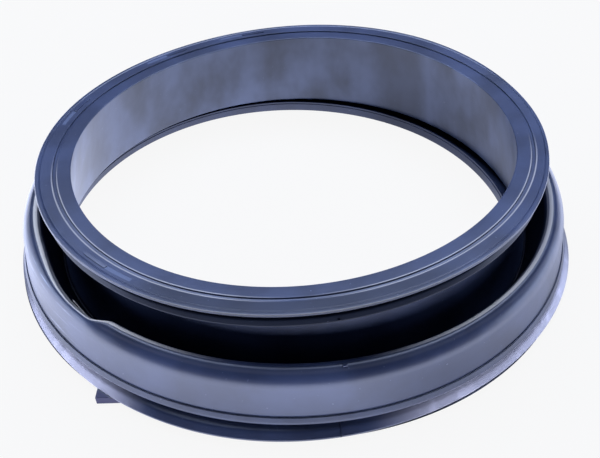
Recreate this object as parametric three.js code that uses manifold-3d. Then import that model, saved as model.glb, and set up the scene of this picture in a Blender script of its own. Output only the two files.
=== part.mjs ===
import * as THREE from 'three'
import { mergeVertices } from 'three/addons/utils/BufferGeometryUtils.js'
import Module from 'manifold-3d'

// Door seal of a front-loading washing machine: one moulded rubber ring, lying on its tub side.
// Millimetres, +Z up. The origin is at the flange's centre, on the surface that the seal lies on.

// Door end: a flat sealing lip over a slot for the front panel's edge.
const lipRadius = 170
const lipWidth = 22.5
const lipDish = 2
const sealHeight = 77.2
const rimThickness = 1.8
const slotMouth = 5.4
const slotFloor = 3.6
const slotDepth = 9
const ribThickness = 3.4
const ribInset = 1.6
const ribTilt = 2
const neckDrop = 7.4
const lipGrooveInset = 11.2
const lipGrooveWidth = 2
const lipGrooveDepth = 1
const rimGrooveInset = 2.4
const rimGrooveWidth = 1.2
const rimGrooveDepth = 0.35

// Bellows: a tube that flares down from the lip, a turn at its foot, a trough, a crest and a belly.
// From here on, each ring's radius is given as how far it stands out past the one inside it.
const wall = 2.8
const tubeFlare = 14.8
const tubeFootHeight = 9.2
const troughWidth = 1.6
const crestOut = 4.6
const crestHeight = 48.6
const crestRounding = 3.4
const bellyOut = 10.2
const bellyShoulderHeight = 42.4
const bellyShoulderRounding = 12

// Tub end: a foot, a relief groove, a bead, the groove of the clamp ring and a flared flange.
const footRise = 1.1
const reliefWidth = 0.8
const reliefDepth = 0.8
const beadOut = 7.6
const beadLand = 3.4
const beadEdge = 3
const beadRounding = 1.4
const beadHeight = 3.4
const clampGrooveDepth = 5.8
const clampGrooveWidth = 3
const flangeOut = 1.6
const flangeEdge = 1.8
const flangeLift = 4.4
const skirtRise = 5.4
const skirtShare = 0.6
const skirtBulge = 1.2

// Under the tub end: a channel for the tub's rim, and a tongue with an upright tip under the bellows.
const channelOuterWall = 3.6
const channelWidth = 4.8
const channelDepth = 17.4
const tongueOut = 14.4
const tongueThickness = 2.8
const tipWidth = 2.3
const tipHeight = 8.2
const tipStep = 0.5
const tipStepDrop = 1.4

// How the soft ring lies: its lip leans and waves, its crest sags at one place, its flange waves.
// The tongue lies off centre, and the tube's foot presses its tip down where the foot comes low.
const lipLean = 0.037
const tubeFootShare = 0.3
const lipWave = 1
const lipWaveCount = 3
const lipWaveAngle = 70
const flangeWave = 1
const flangeWaveCount = 4
const flangeWaveAngle = -95
const tongueShiftX = -4.5
const tongueShiftY = -2
const sagOut = 4.6
const sagDrop = 1.8
const sagStartAngle = -156
const sagFullAngle = -134
const sagHoldAngle = -130.5
const sagEndAngle = -125.5

// Small moulded features.
const lugAngle = -125.9
const lugOverhang = 4.5
const lugWidth = 17
const lugLength = 13
const padAngles = [168, 131.5, 107.6, -125.8]
const padArc = 6.6
const padInset = 7.6
const padWidth = 2.4
const padHeight = 0.5
const nickAngle = -83.7
const nickWidth = 1
const nickDepth = 0.6
const bite = 0.8

// Roundings and fineness.
const edgeRounding = 0.7
const turnRounding = 2.4
const rootRounding = 3
const arcTolerance = 0.14
const ringSegments = 60
const padSegments = 4

// Sizes that follow from the ones above.
const openingRadius = lipRadius - lipWidth
const crestRadius = lipRadius + crestOut
const bellyRadius = crestRadius + bellyOut
const beadRadius = bellyRadius + beadOut
const flangeRadius = beadRadius + flangeOut
const tongueRadius = openingRadius + tongueOut
const lipInnerHeight = sealHeight - lipDish
const dishSlope = lipDish / lipWidth
const lipFaceHeight = (radius) => sealHeight - dishSlope * (lipRadius - radius)
const slotFloorRadius = lipRadius - slotDepth
const rimUnderside = sealHeight - rimThickness
const ribTop = rimUnderside - slotMouth
const slotFloorTop = ribTop + slotFloor
const ribRadius = lipRadius - ribInset
const ribUnderside = ribTop - ribThickness
const neckHeight = ribUnderside - neckDrop
const tubeFootRadius = openingRadius + tubeFlare
const tubeRadiusAt = (height) =>
  openingRadius + tubeFlare * (lipInnerHeight - height) / (lipInnerHeight - tubeFootHeight)
const troughFloor = tubeFootHeight + wall
const troughInnerRadius = tubeRadiusAt(troughFloor) + wall
const troughOuterRadius = troughInnerRadius + troughWidth
const foldRootRadius = troughOuterRadius + wall
const flangeTop = flangeLift + flangeEdge
const clampLow = flangeTop + skirtRise
const clampHigh = clampLow + clampGrooveWidth
const beadTop = clampHigh + beadHeight
const clampFloorRadius = beadRadius - clampGrooveDepth
const reliefOuterRadius = beadRadius - beadLand
const reliefInnerRadius = reliefOuterRadius - reliefWidth
const reliefFloor = beadTop - reliefDepth
const footEdge = beadTop + footRise
const skirtWidth = flangeRadius - clampFloorRadius
const bulgeRadius = flangeRadius - skirtWidth * (1 - skirtShare)
const bulgeHeight = flangeTop + skirtRise * (1 - skirtShare) + skirtBulge
const tipRadius = tongueRadius + tipWidth
const tipEdgeRadius = tongueRadius + tipStep
const tipLedge = tipHeight - tipStepDrop
const channelOuterRadius = clampFloorRadius - channelOuterWall
const channelInnerRadius = channelOuterRadius - channelWidth
const riserRadius = channelInnerRadius - wall
const cavityFloor = channelDepth + wall
const degrees = (angle) => THREE.MathUtils.degToRad(angle)

// A corner of the section: its place, its rounding, and how it follows the ring's lie.
function corner(radius, height, rounding = 0, lie = {}) {
  return { radius, height, rounding, lean: 0, sag: 0, wave: 0, slide: 0, press: 0, ...lie }
}

const withLip = { lean: 1 }
const withTubeFoot = { lean: tubeFootShare }
const withFold = { sag: 1 }
const withRim = { wave: 1 }
const withTongue = { slide: 1 }
const withTip = { slide: 1, press: 1 }

function sectionCorners() {
  const flange = [
    corner(channelOuterRadius, flangeLift),
    corner(flangeRadius - edgeRounding, flangeLift, 0, withRim),
    corner(flangeRadius, flangeTop, edgeRounding, withRim),
    corner(bulgeRadius, bulgeHeight, turnRounding, withRim),
    corner(clampFloorRadius, clampLow),
    corner(clampFloorRadius, clampHigh),
    corner(beadRadius, clampHigh, edgeRounding),
    corner(beadRadius, clampHigh + beadEdge, beadRounding),
    corner(reliefOuterRadius, beadTop),
    corner(reliefOuterRadius, reliefFloor),
    corner(reliefInnerRadius, reliefFloor),
    corner(reliefInnerRadius, footEdge, edgeRounding)
  ]
  const foldOutside = [
    corner(bellyRadius, bellyShoulderHeight, bellyShoulderRounding, withFold),
    corner(crestRadius, crestHeight, crestRounding, withFold),
    corner(troughOuterRadius, troughFloor, wall / 2, withTubeFoot),
    corner(troughInnerRadius, troughFloor, wall / 2, withTubeFoot),
    corner(tubeRadiusAt(neckHeight) + wall, neckHeight, rootRounding, withLip)
  ]
  const head = [
    corner(ribRadius, ribUnderside, ribThickness / 3, withLip),
    corner(ribRadius - ribTilt, ribTop, edgeRounding, withLip),
    corner(slotFloorRadius, ribTop, 0, withLip),
    corner(slotFloorRadius, slotFloorTop, 0, withLip),
    corner(lipRadius, rimUnderside, edgeRounding, withLip),
    corner(lipRadius, sealHeight, edgeRounding, withLip)
  ]
  const rimGroove = lipRadius - rimGrooveInset
  const rimGrooveFloor = lipFaceHeight(rimGroove) - rimGrooveDepth
  const groove = lipRadius - lipGrooveInset
  const grooveInner = groove - lipGrooveWidth
  const lipFace = [
    corner(rimGroove, lipFaceHeight(rimGroove), 0, withLip),
    corner(rimGroove - rimGrooveWidth / 2, rimGrooveFloor, 0, withLip),
    corner(rimGroove - rimGrooveWidth, lipFaceHeight(rimGroove - rimGrooveWidth), 0, withLip),
    corner(groove, lipFaceHeight(groove), 0, withLip),
    corner(groove, lipFaceHeight(groove) - lipGrooveDepth, 0, withLip),
    corner(grooveInner, lipFaceHeight(groove) - lipGrooveDepth, 0, withLip),
    corner(grooveInner, lipFaceHeight(grooveInner), 0, withLip),
    corner(openingRadius, lipInnerHeight, edgeRounding, withLip)
  ]
  const foldInside = [
    corner(tubeFootRadius, tubeFootHeight, turnRounding, withTubeFoot),
    corner(foldRootRadius, tubeFootHeight, turnRounding, withTubeFoot),
    corner(crestRadius + wall, crestHeight - wall, crestRounding - wall, withFold),
    corner(bellyRadius - wall, bellyShoulderHeight - wall / 2, bellyShoulderRounding - wall, withFold),
    corner(reliefInnerRadius - wall, cavityFloor)
  ]
  const tub = [
    corner(riserRadius, cavityFloor, edgeRounding),
    corner(riserRadius, tongueThickness, turnRounding),
    corner(tipRadius, tongueThickness, 0, withTongue),
    corner(tipRadius, tipHeight, edgeRounding, withTip),
    corner(tipEdgeRadius, tipHeight, 0, withTip),
    corner(tipEdgeRadius, tipLedge, 0, withTip),
    corner(tongueRadius, tipLedge - tipStep, 0, withTip),
    corner(tongueRadius, 0, 0, withTongue),
    corner(channelInnerRadius, 0),
    corner(channelInnerRadius, channelDepth),
    corner(channelOuterRadius, channelDepth)
  ]
  return [...flange, ...foldOutside, ...head, ...lipFace, ...foldInside, ...tub]
}

// A rounded corner becomes the points of its arc; a sharp one stays a single point.
function roundCorner(before, here, after) {
  const at = new THREE.Vector2(here.radius, here.height)
  const back = new THREE.Vector2(before.radius, before.height).sub(at)
  const ahead = new THREE.Vector2(after.radius, after.height).sub(at)
  const halfOpening = back.angleTo(ahead) / 2
  const longest = Math.min(back.length(), ahead.length()) / 2
  const reach = Math.min(here.rounding / Math.tan(halfOpening), longest)
  const rounding = reach * Math.tan(halfOpening)
  if (rounding <= 0) return [here]
  const middle = back.clone().normalize().add(ahead.clone().normalize()).normalize()
  const centre = at.clone().addScaledVector(middle, rounding / Math.sin(halfOpening))
  const from = at.clone().addScaledVector(back.normalize(), reach).sub(centre)
  const to = at.clone().addScaledVector(ahead.normalize(), reach).sub(centre)
  const sweep = Math.atan2(from.x * to.y - from.y * to.x, from.dot(to))
  const steps = Math.max(1, Math.round(Math.abs(sweep) / (2 * Math.acos(1 - arcTolerance / rounding))))
  const points = []
  for (let step = 0; step <= steps; step += 1) {
    const point = from.clone().rotateAround(new THREE.Vector2(), sweep * step / steps).add(centre)
    points.push({ ...here, radius: point.x, height: point.y })
  }
  return points
}

function sectionPoints() {
  const corners = sectionCorners()
  const last = corners.length - 1
  return corners.flatMap((here, index) =>
    roundCorner(corners[index === 0 ? last : index - 1], here, corners[index === last ? 0 : index + 1]))
}

// How far the lip stands above its mean height at a place.
const lipRise = (x, angle) =>
  lipLean * x + lipWave * Math.cos(lipWaveCount * (angle - degrees(lipWaveAngle)))

// How far the fold has sagged at an angle, from 0 to 1.
function sagAt(angle) {
  const turned = THREE.MathUtils.radToDeg(angle)
  const grows = THREE.MathUtils.smoothstep(turned, sagStartAngle, sagFullAngle)
  const ends = THREE.MathUtils.smoothstep(turned, sagHoldAngle, sagEndAngle)
  return grows * (1 - ends)
}

// The crest takes the whole sag, and the belly none of it.
const sagShare = (radius) =>
  THREE.MathUtils.clamp((bellyRadius - radius) / (bellyRadius - crestRadius), 0, 1)

// Moves one point of the round ring to where the lying rubber has it.
function settle(point, lie) {
  const angle = Math.atan2(point.y, point.x)
  const sag = lie.sag * sagAt(angle) * sagShare(Math.hypot(point.x, point.y))
  const wave = lie.wave * flangeWave * Math.cos(flangeWaveCount * (angle - degrees(flangeWaveAngle)))
  const outward = sag * sagOut + wave
  const rise = lipRise(point.x, angle)
  const pressed = lie.press * Math.min(0, tubeFootShare * rise)
  point.z += lie.lean * rise + pressed - sag * sagDrop
  point.x += outward * Math.cos(angle) + lie.slide * tongueShiftX
  point.y += outward * Math.sin(angle) + lie.slide * tongueShiftY
}

function settleGeometry(geometry, lieOf) {
  const position = geometry.getAttribute('position')
  const point = new THREE.Vector3()
  for (let index = 0; index < position.count; index += 1) {
    point.fromBufferAttribute(position, index)
    settle(point, lieOf(index))
    position.setXYZ(index, point.x, point.y, point.z)
  }
  return geometry
}

function seal() {
  const points = sectionPoints()
  const profile = points.map((point) => new THREE.Vector2(point.radius, point.height))
  profile.push(profile[0].clone())
  const ring = new THREE.LatheGeometry(profile, ringSegments)
  ring.rotateX(Math.PI / 2)
  return settleGeometry(ring, (index) => points[(index % profile.length) % points.length])
}

// A low bare bar on the lip's outer half, curved with it.
function pad(angle) {
  const outer = lipRadius - padInset + padWidth
  const start = degrees(angle - padArc / 2)
  const end = degrees(angle + padArc / 2)
  const outline = new THREE.Shape()
  outline.absarc(0, 0, outer, start, end, false)
  outline.absarc(0, 0, outer - padWidth, end, start, true)
  const thickness = { depth: padHeight + bite, bevelEnabled: false, curveSegments: padSegments }
  const bar = new THREE.ExtrudeGeometry(outline, thickness)
  bar.translate(0, 0, lipFaceHeight(outer - padWidth / 2) - bite)
  return settleGeometry(bar, () => corner(outer, sealHeight, 0, withLip))
}

// The locating lug stands square to the seal's front, and reaches down to the surface.
function lug() {
  const block = new THREE.BoxGeometry(lugWidth, lugLength, flangeTop - edgeRounding)
  const reach = flangeRadius + lugOverhang
  const cornerX = reach * Math.cos(degrees(lugAngle))
  const cornerY = reach * Math.sin(degrees(lugAngle))
  block.translate(cornerX + lugWidth / 2, cornerY + lugLength / 2, (flangeTop - edgeRounding) / 2)
  return block
}

// The nick that the mould's parting line leaves across the flange.
function nick() {
  const outline = new THREE.Shape()
  outline.moveTo(clampFloorRadius, clampLow - nickDepth)
  outline.lineTo(bulgeRadius, bulgeHeight - nickDepth)
  outline.lineTo(flangeRadius - nickDepth, flangeTop - nickDepth)
  outline.lineTo(flangeRadius + nickDepth, flangeTop)
  outline.lineTo(bulgeRadius + nickDepth, bulgeHeight + nickDepth)
  outline.lineTo(clampFloorRadius, clampLow + nickDepth)
  const cut = new THREE.ExtrudeGeometry(outline, { depth: nickWidth, bevelEnabled: false })
  cut.rotateX(Math.PI / 2)
  cut.rotateZ(degrees(nickAngle))
  return settleGeometry(cut, () => corner(flangeRadius, flangeTop, 0, withRim))
}

const wasm = await Module()
wasm.setup()

function solid(geometry) {
  geometry.deleteAttribute('normal')
  geometry.deleteAttribute('uv')
  const merged = mergeVertices(geometry)
  return new wasm.Manifold(new wasm.Mesh({
    numProp: 3,
    vertProperties: new Float32Array(merged.getAttribute('position').array),
    triVerts: new Uint32Array(merged.getIndex().array)
  }))
}

function geometryOf(body) {
  const mesh = body.getMesh()
  const geometry = new THREE.BufferGeometry()
  geometry.setAttribute('position', new THREE.BufferAttribute(mesh.vertProperties, 3))
  geometry.setIndex(new THREE.BufferAttribute(mesh.triVerts, 1))
  geometry.computeVertexNormals()
  return geometry
}

let body = solid(seal()).add(solid(lug()))
for (const angle of padAngles) {
  body = body.add(solid(pad(angle)))
}
body = body.subtract(solid(nick()))

const rubber = new THREE.MeshStandardMaterial({ color: 0x4c5672, roughness: 0.45, metalness: 0 })
const doorSeal = new THREE.Mesh(geometryOf(body), rubber)
doorSeal.name = 'door_seal'

const group = new THREE.Group()
group.add(doorSeal)
export default group
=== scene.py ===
# Door seal of a front-loading washing machine, dressed on its packed ring.
import math

import bpy
from mathutils import Euler, Matrix, Vector


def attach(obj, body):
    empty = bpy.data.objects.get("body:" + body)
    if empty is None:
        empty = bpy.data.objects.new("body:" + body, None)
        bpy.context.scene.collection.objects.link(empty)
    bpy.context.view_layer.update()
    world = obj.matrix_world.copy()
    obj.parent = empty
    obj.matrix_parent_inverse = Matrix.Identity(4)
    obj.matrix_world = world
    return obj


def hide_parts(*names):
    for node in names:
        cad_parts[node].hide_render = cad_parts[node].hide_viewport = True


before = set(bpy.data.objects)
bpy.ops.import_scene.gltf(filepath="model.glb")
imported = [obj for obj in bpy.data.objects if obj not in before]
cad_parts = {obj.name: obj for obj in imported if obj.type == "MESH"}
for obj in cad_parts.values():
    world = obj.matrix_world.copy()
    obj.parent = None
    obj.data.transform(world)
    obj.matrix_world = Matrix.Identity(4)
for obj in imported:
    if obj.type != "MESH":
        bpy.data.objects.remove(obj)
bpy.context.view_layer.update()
mm = 0.001
mergeDistance = 0.01 * mm
print("frame loaded:", ", ".join(sorted(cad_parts)))


# camera, worked out from the rings in the photograph
cameraSet = {
    "eye": (-0.00136, -0.40795, 0.32959),
    "lookDown": 39.78,      # degrees below the horizon
    "turnRight": 0.78,
    "roll": -1.0,
    "lens": 42.0,
    "sensor": 36.0,
    "nearest": 0.01,
}


def addCamera():
    bpy.ops.object.camera_add(location=cameraSet["eye"])
    camera = bpy.context.object
    camera.name = "photoCamera"
    camera.data.lens = cameraSet["lens"]
    camera.data.sensor_width = cameraSet["sensor"]
    camera.data.clip_start = cameraSet["nearest"]
    aim = Euler((math.radians(90 - cameraSet["lookDown"]), 0, math.radians(-cameraSet["turnRight"])))
    roll = Matrix.Rotation(math.radians(cameraSet["roll"]), 3, "Z")
    camera.rotation_euler = (aim.to_matrix() @ roll).to_euler()
    bpy.context.scene.camera = camera


addCamera()
print("camera placed")


# the ring's section, in millimetres from the axis and from the surface that it lies on
sealSizes = {
    "lipRadius": 170, "lipWidth": 22.5, "lipDish": 2, "height": 77.17, "rimThickness": 1.8, "rimRound": 0.85,
    "slotMouth": 5.4, "slotFloor": 3.6, "slotDepth": 9,
    "ribThickness": 3.4, "ribInset": 1.6, "ribTilt": 2, "ribRound": 1.4, "ribUnderRound": 0.84,
    "neckDrop": 7.4,
    "lipGrooveInset": 11.2, "lipGrooveWidth": 2, "lipGrooveDepth": 1, "lipGrooveRound": 0.3,
    "rimGrooveInset": 2.4, "rimGrooveWidth": 1.2, "rimGrooveDepth": 0.35,
    "wall": 2.8, "tubeFlare": 14.8, "tubeFoot": 9.2, "troughWidth": 1.6,
    "crestRadius": 174.6, "crestHeight": 48.6, "crestRound": 5,
    "bellyRadius": 184.8, "shoulderHeight": 41.4, "shoulderRound": 12,
    "footRise": 1.1, "reliefWidth": 0.8, "reliefDepth": 0.5,
    "beadRadius": 190.4, "beadLand": 1.5, "beadEdge": 1.3, "beadRound": 2.2, "beadHeight": 4.1,
    "clampDepth": 3.8, "clampWidth": 2.2,
    "flangeRadius": 194, "flangeEdge": 1.8, "flangeLift": 4.4,
    "skirtRise": 5.4, "skirtShare": 0.6, "skirtBulge": 1.2,
    "channelWall": 3.6, "channelWidth": 4.8, "channelDepth": 17.4,
    "tongueRadius": 161.9, "tongueThickness": 2.8,
    "tipWidth": 2.3, "tipHeight": 8.2, "tipStep": 0.5, "tipStepDrop": 1.4,
    "edgeRound": 0.6, "turnRound": 2.4, "rootRound": 3, "arcTolerance": 0.015,
    "ringSteps": 360,
}

# how the soft ring lies: lean and wave of the lip, curl of its rim, sag of the fold, wave of the flange
sealLie = {
    "lean": 0.037, "tubeFootShare": 0.3,
    "lipWave": 1.0, "lipWaveCount": 3, "lipWaveAngle": 70,
    "flangeWave": 1.35, "flangeWaveCount": 4, "flangeWaveAngle": -105,
    "rimCurl": 3.2, "rimCurlFrom": 160, "rimCurlStart": 55, "rimCurlFull": 10,
    "tongueShift": (-4.5, -2),
    "sagOut": 4.6, "sagDrop": 1.8, "sagStart": -156, "sagFull": -134, "sagHold": -130.5, "sagEnd": -125.5,
}


def lipFace(radius):
    # the height of the lip's dished face
    slope = sealSizes["lipDish"] / sealSizes["lipWidth"]
    return sealSizes["height"] - slope * (sealSizes["lipRadius"] - radius)


def skirtPoints(s):
    # the flange's top, the clamp groove's low edge and floor, and the bulge between them
    flangeTop = s["flangeLift"] + s["flangeEdge"]
    clampFloor = s["beadRadius"] - s["clampDepth"]
    bulge = s["flangeRadius"] + (clampFloor - s["flangeRadius"]) * (1 - s["skirtShare"])
    bulgeTop = flangeTop + s["skirtRise"] * (1 - s["skirtShare"]) + s["skirtBulge"]
    return flangeTop, flangeTop + s["skirtRise"], clampFloor, bulge, bulgeTop


def sectionCorners(s):
    # rows of radius, height, rounding and the group that says how the corner lies
    opening = s["lipRadius"] - s["lipWidth"]
    innerTop = lipFace(opening)
    rimUnder = s["height"] - s["rimThickness"]
    ribTop = rimUnder - s["slotMouth"]
    ribUnder = ribTop - s["ribThickness"]
    neck = ribUnder - s["neckDrop"]
    slotFloor = s["lipRadius"] - s["slotDepth"]
    rib = s["lipRadius"] - s["ribInset"]

    def tube(height):
        # the tube's inner radius
        return opening + s["tubeFlare"] * (innerTop - height) / (innerTop - s["tubeFoot"])

    troughFloor = s["tubeFoot"] + s["wall"]
    troughInner = tube(troughFloor) + s["wall"]
    troughOuter = troughInner + s["troughWidth"]
    flangeTop, clampLow, clampFloor, bulge, bulgeTop = skirtPoints(s)
    clampHigh = clampLow + s["clampWidth"]
    beadTop = clampHigh + s["beadHeight"]
    reliefOuter = s["beadRadius"] - s["beadLand"]
    reliefInner = reliefOuter - s["reliefWidth"]
    footEdge = beadTop + s["footRise"]
    channelOuter = clampFloor - s["channelWall"]
    channelInner = channelOuter - s["channelWidth"]
    riser = channelInner - s["wall"]
    groove = s["lipRadius"] - s["lipGrooveInset"]
    grooveIn = groove - s["lipGrooveWidth"]
    rimGroove = s["lipRadius"] - s["rimGrooveInset"]
    rimGrooveIn = rimGroove - s["rimGrooveWidth"]
    edge, turn, root, wall = s["edgeRound"], s["turnRound"], s["rootRound"], s["wall"]
    tipOuter = s["tongueRadius"] + s["tipWidth"]
    tipEdge = s["tongueRadius"] + s["tipStep"]
    tipLedge = s["tipHeight"] - s["tipStepDrop"]
    return [
        (channelOuter, s["flangeLift"], edge / 2, "still"),
        (s["flangeRadius"] - edge, s["flangeLift"], edge / 2, "rim"),
        (s["flangeRadius"], flangeTop, edge, "rim"),
        (bulge, bulgeTop, turn * 2, "rim"),
        (clampFloor, clampLow, edge, "still"),
        (clampFloor, clampHigh, edge, "still"),
        (s["beadRadius"], clampHigh, edge, "still"),
        (s["beadRadius"], clampHigh + s["beadEdge"], s["beadRound"], "still"),
        (reliefOuter, beadTop, edge / 2, "still"),
        (reliefOuter, beadTop - s["reliefDepth"], edge / 2, "still"),
        (reliefInner, beadTop - s["reliefDepth"], edge / 2, "still"),
        (reliefInner, footEdge, edge, "still"),
        (s["bellyRadius"], s["shoulderHeight"], s["shoulderRound"], "fold"),
        (s["crestRadius"], s["crestHeight"], s["crestRound"], "fold"),
        (troughOuter, troughFloor, wall / 2, "foot"),
        (troughInner, troughFloor, wall / 2, "foot"),
        (tube(neck) + wall, neck, root, "lip"),
        (rib, ribUnder, s["ribUnderRound"], "lip"),
        (rib - s["ribTilt"], ribTop, s["ribRound"], "lip"),
        (slotFloor, ribTop, edge, "lip"),
        (slotFloor, ribTop + s["slotFloor"], edge, "lip"),
        (s["lipRadius"], rimUnder, s["rimRound"], "lip"),
        (s["lipRadius"], s["height"], s["rimRound"], "lip"),
        (rimGroove, lipFace(rimGroove), edge / 4, "lip"),
        (rimGroove - s["rimGrooveWidth"] / 2, lipFace(rimGroove) - s["rimGrooveDepth"], edge / 4, "lip"),
        (rimGrooveIn, lipFace(rimGrooveIn), edge / 4, "lip"),
        (groove, lipFace(groove), s["lipGrooveRound"] / 2, "lip"),
        (groove, lipFace(groove) - s["lipGrooveDepth"], edge / 4, "lip"),
        (grooveIn, lipFace(groove) - s["lipGrooveDepth"], edge / 4, "lip"),
        (grooveIn, lipFace(grooveIn), s["lipGrooveRound"], "lip"),
        (opening, innerTop, edge, "lip"),
        (opening + s["tubeFlare"], s["tubeFoot"], turn, "foot"),
        (troughOuter + wall, s["tubeFoot"], turn, "foot"),
        (s["crestRadius"] + wall, s["crestHeight"] - wall, s["crestRound"] - wall, "fold"),
        (s["bellyRadius"] - wall, s["shoulderHeight"] - wall / 2, s["shoulderRound"] - wall, "fold"),
        (reliefInner - wall, s["channelDepth"] + wall, turn / 2, "still"),
        (riser, s["channelDepth"] + wall, edge, "still"),
        (riser, s["tongueThickness"], turn, "still"),
        (tipOuter, s["tongueThickness"], edge, "tongue"),
        (tipOuter, s["tipHeight"], edge, "tip"),
        (tipEdge, s["tipHeight"], edge / 2, "tip"),
        (tipEdge, tipLedge, edge / 4, "tip"),
        (s["tongueRadius"], tipLedge - s["tipStep"], edge / 4, "tip"),
        (s["tongueRadius"], 0, edge / 2, "tongue"),
        (channelInner, 0, edge / 2, "still"),
        (channelInner, s["channelDepth"], edge, "still"),
        (channelOuter, s["channelDepth"], edge, "still"),
    ]


def roundCorners(corners, tolerance):
    # each corner with a rounding becomes the points of its arc
    points = []
    for index, (radius, height, rounding, group) in enumerate(corners):
        here = Vector((radius, height))
        back = Vector(corners[index - 1][:2]) - here
        ahead = Vector(corners[(index + 1) % len(corners)][:2]) - here
        half = back.angle(ahead) / 2
        reach = min(rounding / math.tan(half), min(back.length, ahead.length) / 2)
        arc = reach * math.tan(half)
        centre = here + (back.normalized() + ahead.normalized()).normalized() * arc / math.sin(half)
        start = here + back.normalized() * reach - centre
        end = here + ahead.normalized() * reach - centre
        sweep = math.atan2(start.x * end.y - start.y * end.x, start.dot(end))
        steps = max(2, round(abs(sweep) / (2 * math.acos(1 - min(0.5, tolerance / arc)))))
        for step in range(steps + 1):
            spot = Matrix.Rotation(sweep * step / steps, 2) @ start + centre
            points.append((spot.x, spot.y, group))
    return points


# how much of the lean, the sag, the flange's wave, the tongue's shift and its press each group takes
lieShares = {
    "still": (0, 0, 0, 0, 0),
    "rim": (0, 0, 1, 0, 0),
    "fold": (0, 1, 0, 0, 0),
    "foot": (sealLie["tubeFootShare"], 0, 0, 0, 0),
    "lip": (1, 0, 0, 0, 0),
    "tongue": (0, 0, 0, 1, 0),
    "tip": (0, 0, 0, 1, 1),
}
lieNames = ("lean", "sag", "wave", "shift", "press")


def smoothStep(value, low, high):
    share = min(1, max(0, (value - low) / (high - low)))
    return share * share * (3 - 2 * share)


def settleRing(ring):
    # moves the round ring's points to where the lying rubber has them
    lie = sealLie
    crest, belly = sealSizes["crestRadius"] * mm, sealSizes["bellyRadius"] * mm
    names = {ring.vertex_groups[name].index: name for name in lieNames}
    for vertex in ring.data.vertices:
        share = dict.fromkeys(lieNames, 0.0)
        for entry in vertex.groups:
            share[names[entry.group]] = entry.weight
        angle = math.atan2(vertex.co.y, vertex.co.x)
        turned = math.degrees(angle)
        sag = share["sag"] * smoothStep(turned, lie["sagStart"], lie["sagFull"])
        sag *= 1 - smoothStep(turned, lie["sagHold"], lie["sagEnd"])
        sag *= min(1, max(0, (belly - vertex.co.xy.length) / (belly - crest)))      # the belly itself stays
        fromWave = angle - math.radians(lie["flangeWaveAngle"])
        wave = lie["flangeWave"] * math.cos(lie["flangeWaveCount"] * fromWave)
        outward = (sag * lie["sagOut"] + share["wave"] * wave) * mm
        fromLipWave = angle - math.radians(lie["lipWaveAngle"])
        rise = lie["lean"] * vertex.co.x + lie["lipWave"] * mm * math.cos(lie["lipWaveCount"] * fromLipWave)
        vertex.co.z += share["lean"] * rise - sag * lie["sagDrop"] * mm
        # where the tube's foot comes low, it rests on the tongue's tip
        vertex.co.z += share["press"] * min(0, lie["tubeFootShare"] * rise)
        # at the right the rim's outer part has curled in
        curl = smoothStep(vertex.co.xy.length, lie["rimCurlFrom"] * mm, sealSizes["lipRadius"] * mm)
        curl *= share["lean"] * smoothStep(-abs(turned), -lie["rimCurlStart"], -lie["rimCurlFull"])
        outward -= curl * lie["rimCurl"] * mm
        vertex.co.x += outward * math.cos(angle) + share["shift"] * lie["tongueShift"][0] * mm
        vertex.co.y += outward * math.sin(angle) + share["shift"] * lie["tongueShift"][1] * mm


def closeMesh():
    # merges the seam that a spin leaves, and turns the faces outwards
    bpy.ops.mesh.select_all(action="SELECT")
    bpy.ops.mesh.remove_doubles(threshold=mergeDistance)
    bpy.ops.mesh.normals_make_consistent(inside=False)
    bpy.ops.object.mode_set(mode="OBJECT")


def buildRing():
    points = roundCorners(sectionCorners(sealSizes), sealSizes["arcTolerance"])
    bpy.ops.object.select_all(action="DESELECT")
    bpy.ops.mesh.primitive_plane_add(size=mm, location=(0, 0, 0))
    ring = bpy.context.object
    ring.name = "doorSeal"
    bpy.ops.object.mode_set(mode="EDIT")
    bpy.ops.mesh.select_all(action="SELECT")
    bpy.ops.mesh.merge(type="CENTER")
    bpy.ops.transform.translate(value=(points[0][0] * mm, 0, points[0][1] * mm))
    for before, here in zip(points, points[1:]):    # the section is drawn point by point
        step = ((here[0] - before[0]) * mm, 0, (here[1] - before[1]) * mm)
        bpy.ops.mesh.extrude_vertices_move(TRANSFORM_OT_translate={"value": step})
    bpy.ops.object.mode_set(mode="OBJECT")
    for column, name in enumerate(lieNames):
        group = ring.vertex_groups.new(name=name)
        for index, point in enumerate(points):
            group.add([index], lieShares[point[2]][column], "REPLACE")
    for index, vertex in enumerate(ring.data.vertices):
        vertex.select = index in (0, len(points) - 1)
    bpy.ops.object.mode_set(mode="EDIT")
    bpy.ops.mesh.edge_face_add()
    bpy.ops.mesh.select_all(action="SELECT")
    bpy.ops.mesh.spin(steps=sealSizes["ringSteps"], angle=2 * math.pi, center=(0, 0, 0), axis=(0, 0, 1))
    closeMesh()
    settleRing(ring)
    print("ring spun:", len(points), "section points,", len(ring.data.polygons), "faces")
    return ring


ring = buildRing()


def applyModifier(piece, kind, **settings):
    bpy.ops.object.select_all(action="DESELECT")
    bpy.context.view_layer.objects.active = piece
    piece.select_set(True)
    bpy.ops.object.modifier_add(type=kind)
    modifier = piece.modifiers[-1]
    for name, value in settings.items():
        setattr(modifier, name, value)
    bpy.ops.object.modifier_apply(modifier=modifier.name)


def joinTo(ring, tool, operation="UNION"):
    # the moulded-on form becomes part of the ring, or is cut out of it
    applyModifier(ring, "BOOLEAN", object=tool, operation=operation, solver="MANIFOLD")
    bpy.data.objects.remove(tool, do_unlink=True)


def settleAs(piece, group):
    # a form that is joined on lies as its place on the ring does
    for column, name in enumerate(lieNames):
        indexes = list(range(len(piece.data.vertices)))
        piece.vertex_groups.new(name=name).add(indexes, lieShares[group][column], "REPLACE")
    settleRing(piece)
    piece.vertex_groups.clear()


blockSegments = 3


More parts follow.
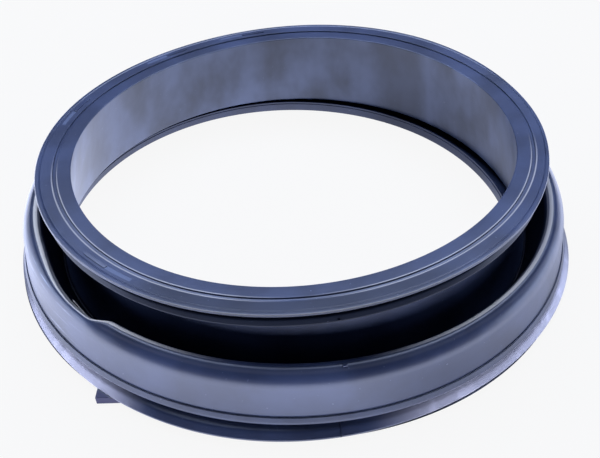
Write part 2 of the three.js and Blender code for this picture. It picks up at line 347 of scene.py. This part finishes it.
def addBlock(name, size, place, rounding, turn=(0, 0, 0)):
    bpy.ops.object.select_all(action="DESELECT")
    bpy.ops.mesh.primitive_cube_add(size=mm, location=[part * mm for part in place], rotation=turn)
    block = bpy.context.object
    block.name = name
    block.scale = size
    bpy.ops.object.transform_apply(location=True, rotation=True, scale=True)
    applyModifier(block, "BEVEL", width=rounding * mm, segments=blockSegments)
    return block


# the locating lug stands square to the seal's front, under the flange
lugSet = {"angle": -125.3, "reach": 199.6, "width": 17, "length": 13, "height": 5.6, "rounding": 0.5}


def addLug(ring):
    turn = math.radians(lugSet["angle"])
    x = lugSet["reach"] * math.cos(turn) + lugSet["width"] / 2
    y = lugSet["reach"] * math.sin(turn) + lugSet["length"] / 2
    size = (lugSet["width"], lugSet["length"], lugSet["height"])
    joinTo(ring, addBlock("lug", size, (x, y, lugSet["height"] / 2), lugSet["rounding"]))


# low bare bars on the lip's outer half, curved with it
barSet = {
    "angles": (168, 131.5, 107.6, -125.8), "arc": 6.6,
    "inset": 7.6, "width": 2.4, "rise": 0.5, "bite": 0.8,
    "steps": 12, "rounding": 0.22, "segments": 2,
    "softEdge": 0.1, "softEnd": 0.1,    # how its tint fades, in millimetres across and in degrees along
}


def addBar(ring, angle):
    middle = sealSizes["lipRadius"] - barSet["inset"] + barSet["width"] / 2
    depth = barSet["rise"] + barSet["bite"]
    height = lipFace(middle) + barSet["rise"] - depth / 2
    bpy.ops.object.select_all(action="DESELECT")
    bpy.ops.mesh.primitive_plane_add(size=mm, rotation=(math.pi / 2, 0, 0),
                                     location=(middle * mm, 0, height * mm))
    bar = bpy.context.object
    bar.scale = (barSet["width"], depth, 1)
    bpy.ops.object.transform_apply(location=True, rotation=True, scale=True)
    bpy.ops.object.mode_set(mode="EDIT")
    bpy.ops.mesh.select_all(action="SELECT")
    arc = math.radians(barSet["arc"])
    bpy.ops.mesh.spin(steps=barSet["steps"], angle=arc, center=(0, 0, 0), axis=(0, 0, 1))
    closeMesh()
    bar.rotation_euler.z = math.radians(angle - barSet["arc"] / 2)
    bpy.ops.object.transform_apply(location=True, rotation=True, scale=True)
    applyModifier(bar, "BEVEL", width=barSet["rounding"] * mm, segments=barSet["segments"])
    settleAs(bar, "lip")
    joinTo(ring, bar)


# the nick that the mould's parting line leaves across the flange
nickSet = {"angle": -83.6, "width": 1.0, "depth": 0.55, "past": 3}


def addNick(ring):
    top, low, floor, bulge, bulgeTop = skirtPoints(sealSizes)
    rim, deep, past = sealSizes["flangeRadius"], nickSet["depth"], nickSet["past"]
    outline = ((floor, low - deep), (bulge, bulgeTop - deep), (rim - deep, top - deep), (rim - deep, 0),
               (rim + past, 0), (rim + past, top), (bulge + past, bulgeTop + past), (floor, low + past))
    bpy.ops.object.select_all(action="DESELECT")
    bpy.ops.mesh.primitive_circle_add(vertices=len(outline), radius=mm, fill_type="NGON")
    nick = bpy.context.object
    for vertex, (radius, height) in zip(nick.data.vertices, outline):
        vertex.co = (radius * mm, -nickSet["width"] / 2 * mm, height * mm)
    bpy.ops.object.mode_set(mode="EDIT")
    bpy.ops.mesh.select_all(action="SELECT")
    bpy.ops.mesh.extrude_region_move(TRANSFORM_OT_translate={"value": (0, nickSet["width"] * mm, 0)})
    closeMesh()
    nick.rotation_euler.z = math.radians(nickSet["angle"])
    bpy.ops.object.transform_apply(location=True, rotation=True, scale=True)
    settleAs(nick, "rim")
    joinTo(ring, nick, "DIFFERENCE")


# small nubs of rubber on the mould's parting line: angle, radius, height, length, width and rise
nubSet = {
    "crestNub": (-82.4, 179.0, 46.0, 1.6, 2.6, 0.9),
    "ribNub": (-82.9, 168.0, 68.4, 1.4, 1.4, 1.0),
}
nubRounding = 0.3

# thin flash lines on the fold's inner side: two ends, each as angle, radius and height, and the thickness
ridgeSet = {
    "leftRidge": ((-138.4, 175.2, 37.0), (-134.2, 173.4, 28.0), 0.5),
    "rightRidge": ((-61.0, 172.0, 35.0), (-54.5, 173.0, 42.5), 0.5),
}
ridgeRounding = 0.15


def polarPoint(angle, radius, height):
    turn = math.radians(angle)
    return Vector((radius * math.cos(turn), radius * math.sin(turn), height))


def addNub(ring, name, nub):
    angle, radius, height, length, width, rise = nub
    turn = (0, 0, math.radians(angle))
    joinTo(ring, addBlock(name, (length, width, rise), polarPoint(angle, radius, height), nubRounding, turn))


def addRidge(ring, name, ridge):
    start, end, thickness = polarPoint(*ridge[0]), polarPoint(*ridge[1]), ridge[2]
    along = end - start
    turn = along.to_track_quat("X", "Z").to_euler()
    size = (along.length, thickness, thickness)
    joinTo(ring, addBlock(name, size, (start + end) / 2, ridgeRounding, turn))


smoothAngle = 32        # degrees; sharper edges stay sharp


addLug(ring)
for angle in barSet["angles"]:
    addBar(ring, angle)
addNick(ring)
for name, nub in nubSet.items():
    addNub(ring, name, nub)
for name, ridge in ridgeSet.items():
    addRidge(ring, name, ridge)
bpy.ops.object.select_all(action="DESELECT")
ring.select_set(True)
bpy.context.view_layer.objects.active = ring
bpy.ops.object.shade_smooth_by_angle(angle=math.radians(smoothAngle))
# flat stretches stay flat beside their rounded edges
applyModifier(ring, "WEIGHTED_NORMAL", keep_sharp=True)
print("lug, bars, nick, nubs and ridges joined:", len(ring.data.polygons), "faces")


# rubber: slate blue-grey, with cloudy marks, scuffs on the flange, painted highlights on its edges and
# painted shade in the trough, under the lip and on the flange's rim
rubberSet = {
    "dark": (0.014, 0.020, 0.044, 1), "light": (0.028, 0.039, 0.080, 1),
    "wallDark": (0.013, 0.020, 0.040, 1), "wallLight": (0.066, 0.086, 0.145, 1),
    "wallPaintedShadeShare": 0.6, "wallStreakShare": 0.7,
    # the trough colour is painted shade in the deep fold
    "trough": (0.002, 0.003, 0.007, 1),
    # edge is the pale colour of the painted highlights on the crest, the lip's groove and rim, and the flash
    # ridges
    "edge": (1.0, 0.92, 0.78, 1), "grooveShare": 0.22, "lipRimShare": 0.15,
    "scuff": (0.66, 0.63, 0.70, 1),
    "lug": (0.080, 0.078, 0.125, 1),
    # bar is a paler tint on the lip's bars: a painted highlight
    "bar": (0.110, 0.135, 0.205, 1), "barHighlightShare": 0.45,
    "fleck": (0.30, 0.33, 0.42, 1), "fleckShare": 0.35, "streakShare": 0.5,
    # the near-black colour below is painted shade on the flange's rim edge, on the rib under the lip's
    # overhang and on the front of the lip's outer part
    "paintedShade": (0.006, 0.008, 0.014, 1), "rimShadeShare": 0.8, "ribShadeShare": 0.8, "outerLipShadeShare": 0.6,
    "roughness": 0.33, "scuffRoughness": 0.62,
    "shine": 0.5, "dullShine": 0.05, "ribDull": 0.75, "outerLipDull": 0.25, "farLeftDull": 0.85,
    "grainScale": 900, "grainShare": 0.10, "dentScale": 70, "reliefDetail": 3,
    "bumpStrength": 0.35, "bumpDistance": 0.0004,
}

# the ring's zones: each row is a measure, where the zone has faded out and where it is full
# metres, degrees for the turn, and for the tilt 1 where a face looks away from the axis and -1 towards it;
# up is 1 where a face looks up, and side is 0 in the middle of the front and back
zoneSet = {
    "front": [("y", 0.06, -0.03)],
    "lip": [("z", 0.0615, 0.0630)],
    "outerLip": [("radius", 0.1592, 0.1604), ("side", 0.9, 0.3)],
    "lipRim": [("radius", 0.1688, 0.1692), ("tilt", 0.20, 0.40), ("tilt", 0.95, 0.75)],
    "grooveFront": [("y", -0.01, -0.06), ("fromMiddle", 0.0, 0.05)],
    "grooveInner": [("radius", 0.1557, 0.1561), ("radius", 0.1568, 0.1564)],
    "grooveOuter": [("radius", 0.1588, 0.1592), ("radius", 0.1600, 0.1596)],
    "rib": [("lipHeight", 0.0575, 0.0590), ("lipHeight", 0.0715, 0.0705), ("tilt", -0.3, -0.1),
            ("radius", 0.1535, 0.1550)],
    "wall": [("tilt", -0.5, -0.8), ("radius", 0.1672, 0.1668), ("z", 0.0072, 0.0084)],
    "wallStreak": [("turn", 41.0, 42.8), ("turn", 44.7, 42.9)],
    "wallPaintedShade": [("turn", 41, 49), ("turn", 64, 56)],
    "trough": [("z", 0.0455, 0.038), ("radius", 0.1635, 0.1645), ("radius", 0.1815, 0.1790),
               ("z", 0.0086, 0.0094)],
    "flash": [("up", 0.35, 0.55), ("z", 0.0190, 0.0200), ("radius", 0.1690, 0.1700)],
    "crest": [("z", 0.0435, 0.0450), ("z", 0.052, 0.050), ("tilt", -0.70, -0.54), ("tilt", 0.02, -0.14),
              ("x", 0.26, 0.02), ("x", -0.30, -0.08)],
    "belly": [("radius", 0.1785, 0.1815), ("z", 0.017, 0.020)],
    "bellyLeft": [("turn", -128, -142)],
    "tubEnd": [("z", 0.0150, 0.0135), ("radius", 0.1875, 0.1890)],
    "skirt": [("tilt", 0.1, 0.4)],
    "farLeft": [("x", -0.150, -0.170)],
    "rightScuff": [("turn", -80, -62), ("turn", -9, -27)],
    "leftScuff": [("turn", -159, -145), ("turn", -115, -129)],
    "flangeRim": [("z", 0.0059, 0.0053), ("radius", 0.1905, 0.1915), ("tilt", 0.3, 0.6), ("x", 0.10, 0.02)],
    "lug": [("z", 0.0062, 0.0059), ("x", -0.100, -0.1005), ("y", -0.150, -0.1505)],
    "underFlange": [("z", 0.0044, 0.0042)],
    "pastFlange": [("radius", 0.1948, 0.1952)],
}

# noise patches: scale, detail, and the levels where a patch begins and where it is full
patchSet = {
    "clouds": (26, 5, 0.32, 0.68),
    "streaks": (1.0, 4, 0.56, 0.74),
    "wallClouds": (1.35, 3, 0.30, 0.70),
    "flecks": (620, 2, 0.72, 0.80),
    "smears": (60, 6, 0.50, 0.72),
}

# how far the patterns are drawn out: round the ring, across it, and down the wall
stretchSet = {"streakTurn": 5, "streakAcross": 420, "wallTurn": 3.4, "wallDown": 13}

# how the smears break up the scuffs: a low start leaves them pale all over
scuffSmears = (-1.2, 0.6)

# how far from the middle the painted highlights on the edges begin, and where they are full
sideFade = (0.030, 0.120)


def addNode(tree, kind, inputs, output=0, **settings):
    node = tree.nodes.new("ShaderNode" + kind)
    for name, value in settings.items():
        setattr(node, name, value)
    for name, value in inputs.items():
        if isinstance(value, bpy.types.NodeSocket):
            tree.links.new(value, node.inputs[name])
        else:
            node.inputs[name].default_value = value
    return node.outputs["Result"] if kind in ("Mix", "MapRange") else node.outputs[output]


def reckon(tree, operation, *values):
    return addNode(tree, "Math", dict(enumerate(values)), operation=operation)


def product(tree, *values):
    total = values[0]
    for value in values[1:]:
        total = reckon(tree, "MULTIPLY", total, value)
    return total


def fade(tree, value, low, high):
    # 0 below low and 1 above high; turned round when low is the greater
    limits = {"From Min": min(low, high), "From Max": max(low, high)}
    if low > high:
        limits.update({"To Min": 1.0, "To Max": 0.0})
    return addNode(tree, "MapRange", {"Value": value, **limits}, interpolation_type="SMOOTHSTEP")


def between(tree, share, start, end):
    # start where the share is 0, and end where it is 1
    return addNode(tree, "MapRange", {"Value": share, "To Min": start, "To Max": end})


def band(tree, value, low, high, soft):
    return product(tree, fade(tree, value, low - soft, low + soft),
                   fade(tree, value, high + soft, high - soft))


def zoneShare(tree, rows, measures):
    return product(tree, *(fade(tree, measures[name], low, high) for name, low, high in rows))


def mixColour(tree, share, first, second):
    return addNode(tree, "Mix", {"Factor": share, "A": first, "B": second}, data_type="RGBA")


def patches(tree, vector, name):
    scale, detail, low, high = patchSet[name]
    noise = addNode(tree, "TexNoise", {"Vector": vector, "Scale": scale, "Detail": detail})
    return fade(tree, noise, low, high)


def splitVector(tree, vector):
    parts = tree.nodes.new("ShaderNodeSeparateXYZ")
    tree.links.new(vector, parts.inputs[0])
    return list(parts.outputs)


def ringMeasures(tree, place):
    # what the zones are told apart by
    x, y, z = splitVector(tree, place.outputs["Object"])
    flat = addNode(tree, "CombineXYZ", {"X": x, "Y": y})
    outward = addNode(tree, "VectorMath", {0: flat}, operation="NORMALIZE")
    angle = reckon(tree, "ARCTAN2", y, x)
    measures = {
        "x": x, "y": y, "z": z, "angle": angle,
        "turn": reckon(tree, "DEGREES", angle),
        "fromMiddle": reckon(tree, "ABSOLUTE", x),
        "radius": addNode(tree, "VectorMath", {0: flat}, "Value", operation="LENGTH"),
        "tilt": addNode(tree, "VectorMath", {0: place.outputs["Normal"], 1: outward}, "Value",
                        operation="DOT_PRODUCT"),
        "up": splitVector(tree, place.outputs["Normal"])[2],
        "lipHeight": reckon(tree, "MULTIPLY_ADD", x, -sealLie["lean"], z),      # as if the lip did not lean
    }
    measures["side"] = fade(tree, measures["fromMiddle"], *sideFade)
    return measures


def wallColour(tree, zones, measures):
    # the inner wall's watery marks, drawn out down the wall, with one pale streak and a painted shade beside
    # it
    downWall = addNode(tree, "CombineXYZ", {
        "X": product(tree, measures["angle"], stretchSet["wallTurn"]),
        "Y": product(tree, measures["z"], stretchSet["wallDown"])})
    clouds = patches(tree, downWall, "wallClouds")
    wall = mixColour(tree, clouds, rubberSet["wallDark"], rubberSet["wallLight"])
    # painted shade on the wall at the back right
    shade = product(tree, zones["wallPaintedShade"], rubberSet["wallPaintedShadeShare"])
    wall = mixColour(tree, shade, wall, rubberSet["wallDark"])
    streak = product(tree, zones["wallStreak"], rubberSet["wallStreakShare"])
    return mixColour(tree, streak, wall, rubberSet["wallLight"])


def paintedEdgeHighlights(tree, zones, side):
    # painted highlights: the crest, the two edges of the lip's groove and the lip's rim are painted pale
    # where they catch light
    crest = product(tree, zones["crest"], side)
    groove = reckon(tree, "ADD", zones["grooveInner"], zones["grooveOuter"])
    groove = product(tree, zones["lip"], zones["grooveFront"], groove, rubberSet["grooveShare"])
    rim = product(tree, zones["lip"], zones["lipRim"], rubberSet["lipRimShare"])
    edges = reckon(tree, "ADD", crest, groove)
    return addNode(tree, "Math", {0: edges, 1: rim}, operation="ADD", use_clamp=True)


def barHighlightShares(tree, zones, measures):
    # one share of the painted highlight for each bar, softened along its outline
    inner = (sealSizes["lipRadius"] - barSet["inset"]) * mm
    soft = barSet["softEdge"] * mm
    across = band(tree, measures["radius"], inner, inner + barSet["width"] * mm, soft)
    onRing = product(tree, zones["lip"], across, rubberSet["barHighlightShare"])
    turn, half, soft = measures["turn"], barSet["arc"] / 2, barSet["softEnd"]
    return [product(tree, onRing, band(tree, turn, middle - half, middle + half, soft))
            for middle in barSet["angles"]]


def rubberMaterial():
    material = bpy.data.materials.new("slateRubber")
    material.use_nodes = True
    tree = material.node_tree
    shader = tree.nodes["Principled BSDF"]
    place = tree.nodes.new("ShaderNodeTexCoord")
    spot = place.outputs["Object"]
    measures = ringMeasures(tree, place)
    zones = {name: zoneShare(tree, rows, measures) for name, rows in zoneSet.items()}
    offFlange = reckon(tree, "MAXIMUM", zones["underFlange"], zones["pastFlange"])
    onLug = product(tree, zones["lug"], offFlange)
    outerLip = product(tree, zones["lip"], zones["outerLip"], zones["front"])

    # streaks are drawn out round the ring
    aroundRing = addNode(tree, "CombineXYZ", {
        "X": product(tree, measures["angle"], stretchSet["streakTurn"]),
        "Y": product(tree, measures["radius"], stretchSet["streakAcross"]),
        "Z": product(tree, measures["z"], stretchSet["streakAcross"])})
    streaks = product(tree, zones["belly"], patches(tree, aroundRing, "streaks"), zones["bellyLeft"],
                      rubberSet["streakShare"])

    # the tub end is scuffed pale at the right and left of the front, and clean in the middle
    scuffed = reckon(tree, "ADD", zones["rightScuff"], zones["leftScuff"])
    smears = fade(tree, patches(tree, spot, "smears"), *scuffSmears)
    scuffs = product(tree, scuffed, zones["tubEnd"], zones["skirt"], smears)

    # each layer of colour: where it lies, and what it is
    layers = [
        (zones["wall"], wallColour(tree, zones, measures)),
        (streaks, rubberSet["fleck"]),
        (scuffs, rubberSet["scuff"]),
        # painted shade on the flange's rim edge, on the rib under the lip's overhang and on the front of the
        # lip's outer part
        (product(tree, zones["flangeRim"], rubberSet["rimShadeShare"]), rubberSet["paintedShade"]),
        (product(tree, zones["rib"], rubberSet["ribShadeShare"]), rubberSet["paintedShade"]),
        (onLug, rubberSet["lug"]),
        (product(tree, outerLip, rubberSet["outerLipShadeShare"]), rubberSet["paintedShade"]),
        # painted highlights on the crest, the edges of the lip's groove and the lip's rim
        (paintedEdgeHighlights(tree, zones, measures["side"]), rubberSet["edge"]),
    ]
    layers += [(share, rubberSet["bar"]) for share in barHighlightShares(tree, zones, measures)]
    layers += [
        (product(tree, patches(tree, spot, "flecks"), rubberSet["fleckShare"]), rubberSet["fleck"]),
        # painted shade: the deep, narrow trough is painted nearly black
        (zones["trough"], rubberSet["trough"]),
        # painted highlight: the up-facing tops of the flash ridges in the trough are painted in the pale
        # edge colour
        (product(tree, zones["trough"], zones["flash"]), rubberSet["edge"]),
    ]
    colour = mixColour(tree, patches(tree, spot, "clouds"), rubberSet["dark"], rubberSet["light"])
    for share, tint in layers:
        colour = mixColour(tree, share, colour, tint)
    tree.links.new(colour, shader.inputs["Base Color"])

    # scuffs are rough, and the painted-shade zones, the trough, the lug and the far left of the tub end
    # hardly shine
    roughness = between(tree, scuffs, rubberSet["roughness"], rubberSet["scuffRoughness"])
    tree.links.new(roughness, shader.inputs["Roughness"])
    dull = zones["trough"]
    for share in (product(tree, zones["rib"], rubberSet["ribDull"]),
                  product(tree, outerLip, rubberSet["outerLipDull"]), zones["flangeRim"], onLug,
                  product(tree, zones["tubEnd"], zones["farLeft"], rubberSet["farLeftDull"])):
        dull = reckon(tree, "MAXIMUM", dull, share)
    shine = between(tree, dull, rubberSet["shine"], rubberSet["dullShine"])
    tree.links.new(shine, shader.inputs["Specular IOR Level"])

    # fine grain over shallow dents
    grain, dents = (addNode(tree, "TexNoise", {"Vector": spot, "Scale": rubberSet[scale],
                                               "Detail": rubberSet["reliefDetail"]})
                    for scale in ("grainScale", "dentScale"))
    relief = reckon(tree, "ADD", product(tree, grain, rubberSet["grainShare"]), dents)
    bump = addNode(tree, "Bump", {"Strength": rubberSet["bumpStrength"],
                                  "Distance": rubberSet["bumpDistance"], "Height": relief})
    tree.links.new(bump, shader.inputs["Normal"])
    return material


ring.data.materials.clear()         # the joined forms left an empty slot
ring.data.materials.append(rubberMaterial())
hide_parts("door_seal")
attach(ring, "root")
print("rubber on")


# floor and light: a pale floor, lit far past white, and soft boxes in a dim room
studioSet = {
    "floorSize": 12,
    "floorColour": (0.912, 0.912, 0.912, 1),
    "floorGlow": 4.7,
    "shadowShare": 0.02,
    "lightColour": (0.60, 0.705, 1.0, 1),
    "glowColour": (0.71, 0.765, 1.0, 1),
    "roomColour": (0.030, 0.039, 0.066, 1),
}

# parts of the floor that glow more or less than the rest: how much, and their rows as in the zones above;
# near the ring and inside it the glow is lowered as a painted shadow of the ring
floorZones = {
    "front": (1.2, [("distance", 0.150, 0.175), ("y", -0.05, -0.25)]),
    "right": (0.75, [("distance", 0.150, 0.175), ("x", 0.12, 0.32)]),
    "nearShadow": (0.4, [("distance", 0.150, 0.175), ("distance", 0.260, 0.185)]),
    "rightNearShadow": (0.52, [("distance", 0.150, 0.175), ("x", 0.02, 0.12), ("distance", 0.290, 0.230)]),
    "inside": (0.52, [("distance", 0.175, 0.150)]),
    "insideRightShadow": (0.45, [("distance", 0.175, 0.150), ("x", -0.02, 0.12)]),
}

# each soft box: its bearing round the seal, its height in degrees, distance, width, height and glow
softBoxes = {
    "backBox": {"bearing": 90, "rise": 66, "distance": 1.5, "width": 1.9, "height": 0.8, "glow": 11},
    "rightBox": {"bearing": 0, "rise": 8, "distance": 1.4, "width": 1.0, "height": 0.3, "glow": 6},
    "overBox": {"bearing": 0, "rise": 74, "distance": 1.4, "width": 0.7, "height": 0.9, "glow": 1.2},
    "leftBox": {"bearing": 180, "rise": 8, "distance": 1.4, "width": 1.0, "height": 0.3, "glow": 8},
    "highBox": {"bearing": 90, "rise": 88, "distance": 1.4, "width": 1.6, "height": 0.5, "glow": 3.4},
}


def addSoftBox(name, box):
    bearing, rise = math.radians(box["bearing"]), math.radians(box["rise"])
    away = Vector((math.cos(rise) * math.cos(bearing), math.cos(rise) * math.sin(bearing), math.sin(rise)))
    bpy.ops.object.light_add(type="AREA", location=away * box["distance"])
    light = bpy.context.object
    light.name = name
    light.data.shape = "RECTANGLE"
    light.data.size = box["width"]
    light.data.size_y = box["height"]
    light.data.energy = box["glow"] * math.pi * box["width"] * box["height"]
    light.data.color = studioSet["lightColour"][:3]
    light.rotation_euler = away.to_track_quat("Z", "Y").to_euler()


def byCameraRay(tree, seenByRubber, seenByCamera):
    path = tree.nodes.new("ShaderNodeLightPath").outputs["Is Camera Ray"]
    return addNode(tree, "MixShader", {"Fac": path, 1: seenByRubber, 2: seenByCamera})


def addRoom():
    # dim where the rubber mirrors it, pale where the camera looks past the floor
    world = bpy.data.worlds.new("dimRoom")
    world.use_nodes = True
    tree = world.node_tree
    dim = tree.nodes["Background"]
    dim.inputs["Color"].default_value = studioSet["roomColour"]
    pale = addNode(tree, "Background", {"Color": studioSet["floorColour"]})
    either = byCameraRay(tree, dim.outputs["Background"], pale)
    tree.links.new(either, tree.nodes["World Output"].inputs["Surface"])
    bpy.context.scene.world = world


def addFloor():
    bpy.ops.object.select_all(action="DESELECT")
    bpy.ops.mesh.primitive_plane_add(size=studioSet["floorSize"], location=(0, 0, 0))
    floor = bpy.context.object
    floor.name = "paleFloor"
    paint = bpy.data.materials.new("paleFloor")
    paint.use_nodes = True
    tree = paint.node_tree
    tree.nodes.remove(tree.nodes["Principled BSDF"])
    place = tree.nodes.new("ShaderNodeTexCoord").outputs["Object"]
    x, y = splitVector(tree, place)[:2]
    distance = addNode(tree, "VectorMath", {0: place}, "Value", operation="LENGTH")
    measures = {"x": x, "y": y, "distance": distance}
    glow = product(tree, studioSet["floorGlow"], *(between(tree, zoneShare(tree, rows, measures), 1.0, full)
                                                   for full, rows in floorZones.values()))

    # a light table, as the rubber sees it, and plain pale paper, as the camera sees it
    table = addNode(tree, "Emission", {"Color": studioSet["glowColour"], "Strength": glow})
    sheet = addNode(tree, "Emission", {"Color": studioSet["floorColour"]})
    shade = addNode(tree, "BsdfDiffuse", {"Color": [studioSet["shadowShare"]] * 3 + [1]})
    paper = addNode(tree, "AddShader", {0: sheet, 1: shade})
    tree.links.new(byCameraRay(tree, table, paper), tree.nodes["Material Output"].inputs["Surface"])
    floor.data.materials.append(paint)


addFloor()
addRoom()
for name, box in softBoxes.items():
    addSoftBox(name, box)
bpy.context.scene.view_settings.view_transform = "Standard"
print("floor and light set")
